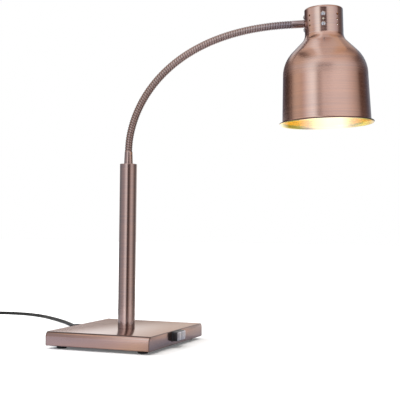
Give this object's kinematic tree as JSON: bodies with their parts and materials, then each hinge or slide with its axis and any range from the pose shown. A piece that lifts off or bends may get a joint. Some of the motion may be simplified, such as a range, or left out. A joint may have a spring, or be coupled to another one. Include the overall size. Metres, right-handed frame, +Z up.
{
  "type": "food heat lamp",
  "caption": "Table-top food heat lamp: a weighted sheet-metal base with a rocker switch, a tube column, a bendable gooseneck arm and a bell shade over a reflector heat bulb.",
  "frame": {"origin": "on the floor under the middle of the lamp's outline, without its mains cord", "axes": "+Z up, +X from the column towards the shade, +Y towards the back, so the front edge of the base faces -Y"},
  "size_m": [0.988, 0.4632, 0.579],
  "materials": {
    "copper_sheet": "brushed steel sheet plated in copper colour, satin",
    "copper_tube": "brushed steel plated in copper colour, satin",
    "copper_hose": "steel gooseneck hose plated in copper colour",
    "shade_metal": "spun aluminium, brushed and anodised in copper colour",
    "zinc_steel": "zinc plated steel",
    "cast_iron": "raw casting, dark",
    "black_rubber": "black rubber, matte",
    "black_plastic": "black plastic",
    "clear_boot": "clear soft rubber boot",
    "cream_plastic": "cream plastic",
    "brass": "plain brass",
    "lead_brown": "insulated leads",
    "lead_white": "white heat-proof leads",
    "ceramic": "white unglazed ceramic",
    "cap_metal": "thin pressed metal",
    "bulb_mirror": "pressed glass with a mirror coat inside",
    "bulb_glass": "clear pressed glass, lit",
    "filament": "lit filament on its glass stem"
  },
  "bodies": {
    "base": {"base_cover": "copper_sheet", "left_end_plate": "copper_sheet", "right_end_plate": "copper_sheet", "column_tube": "copper_tube", "column_cap": "copper_tube", "lower_ferrule": "copper_tube", "gooseneck_1": "copper_hose", "bottom_plate": "zinc_steel", "foot_screws": "zinc_steel", "foot_posts": "zinc_steel", "foot_plug": "zinc_steel", "foot_pipe": "zinc_steel", "foot_washer": "zinc_steel", "foot_nut": "zinc_steel", "ballast_slab": "cast_iron", "rubber_feet": "black_rubber", "strain_relief": "black_rubber", "cord_inner": "black_rubber", "cord_run": "black_rubber", "cord_coil": "black_rubber", "cord_tail": "black_rubber", "plug_body": "black_rubber", "switch_frame": "black_plastic", "switch_body": "black_plastic", "cord_tie": "black_plastic", "switch_boot": "clear_boot", "cord_clamp": "cream_plastic", "terminal_block": "cream_plastic", "earth_stud": "brass", "switch_tabs": "brass", "plug_pins": "brass", "base_leads": "lead_brown", "column_lead": "lead_white"},
    "link_2": {"gooseneck_2": "copper_hose"},
    "link_3": {"gooseneck_3": "copper_hose"},
    "link_4": {"gooseneck_4": "copper_hose"},
    "link_5": {"gooseneck_5": "copper_hose"},
    "link_6": {"gooseneck_6": "copper_hose"},
    "link_7": {"gooseneck_7": "copper_hose"},
    "link_8": {"gooseneck_8": "copper_hose"},
    "link_9": {"gooseneck_9": "copper_hose"},
    "head": {"gooseneck_10": "copper_hose", "upper_ferrule": "copper_tube", "arm_nut": "zinc_steel", "arm_plate": "zinc_steel", "shade": "shade_metal", "shade_screws": "zinc_steel", "screw_nuts": "zinc_steel", "holder_bracket": "zinc_steel", "holder_screws": "zinc_steel", "lampholder": "ceramic", "holder_shell": "brass", "holder_contact": "brass", "head_leads": "lead_white", "bulb_cap": "cap_metal", "bulb_reflector": "bulb_mirror", "bulb_lens": "bulb_glass", "bulb_filament": "filament"},
    "rocker": {"switch_rocker": "black_plastic"}
  },
  "joints": [
    {"name": "bend_1", "type": "hinge", "parent": "base", "child": "link_2", "pos_m": [-0.14, -0.022, 0.35657], "axis": [-0.1908, 0.9816, 0], "range_deg": [-20, 15]},
    {"name": "swing_2", "type": "hinge", "parent": "link_2", "child": "link_3", "pos_m": [-0.12974, -0.02001, 0.3988], "axis": [0.9529, 0.1852, -0.2402], "range_deg": [-20, 20]},
    {"name": "bend_3", "type": "hinge", "parent": "link_3", "child": "link_4", "pos_m": [-0.11044, -0.01625, 0.4376], "axis": [-0.1908, 0.9816, 0], "range_deg": [-20, 15]},
    {"name": "swing_4", "type": "hinge", "parent": "link_4", "child": "link_5", "pos_m": [-0.08361, -0.01104, 0.47145], "axis": [0.7637, 0.1484, -0.6283], "range_deg": [-20, 20]},
    {"name": "bend_5", "type": "hinge", "parent": "link_5", "child": "link_6", "pos_m": [-0.05088, -0.00468, 0.49938], "axis": [-0.1908, 0.9816, 0], "range_deg": [-25, 15]},
    {"name": "swing_6", "type": "hinge", "parent": "link_6", "child": "link_7", "pos_m": [-0.0138, 0.00253, 0.52096], "axis": [0.4871, 0.0947, -0.8682], "range_deg": [-20, 20]},
    {"name": "bend_7", "type": "hinge", "parent": "link_7", "child": "link_8", "pos_m": [0.0261, 0.01029, 0.53644], "axis": [-0.1908, 0.9816, 0], "range_deg": [-25, 15]},
    {"name": "swing_8", "type": "hinge", "parent": "link_8", "child": "link_9", "pos_m": [0.06767, 0.01837, 0.54641], "axis": [0.225, 0.0437, -0.9734], "range_deg": [-20, 20]},
    {"name": "bend_9", "type": "hinge", "parent": "link_9", "child": "head", "pos_m": [0.11005, 0.02661, 0.55168], "axis": [-0.1908, 0.9816, 0], "range_deg": [-25, 15]},
    {"name": "switch_rock", "type": "hinge", "parent": "base", "child": "rocker", "pos_m": [-0.0535, -0.0095, 0.0197], "axis": [0, 0, 1], "range_deg": [0, 20]}
  ],
  "couplings": [
    {"joint": "bend_1", "follows": "bend_3", "ratio": 1},
    {"joint": "bend_5", "follows": "bend_7", "ratio": 1},
    {"joint": "bend_9", "follows": "bend_7", "ratio": 1},
    {"joint": "swing_2", "follows": "swing_4", "ratio": 1},
    {"joint": "swing_6", "follows": "swing_8", "ratio": 1}
  ]
}
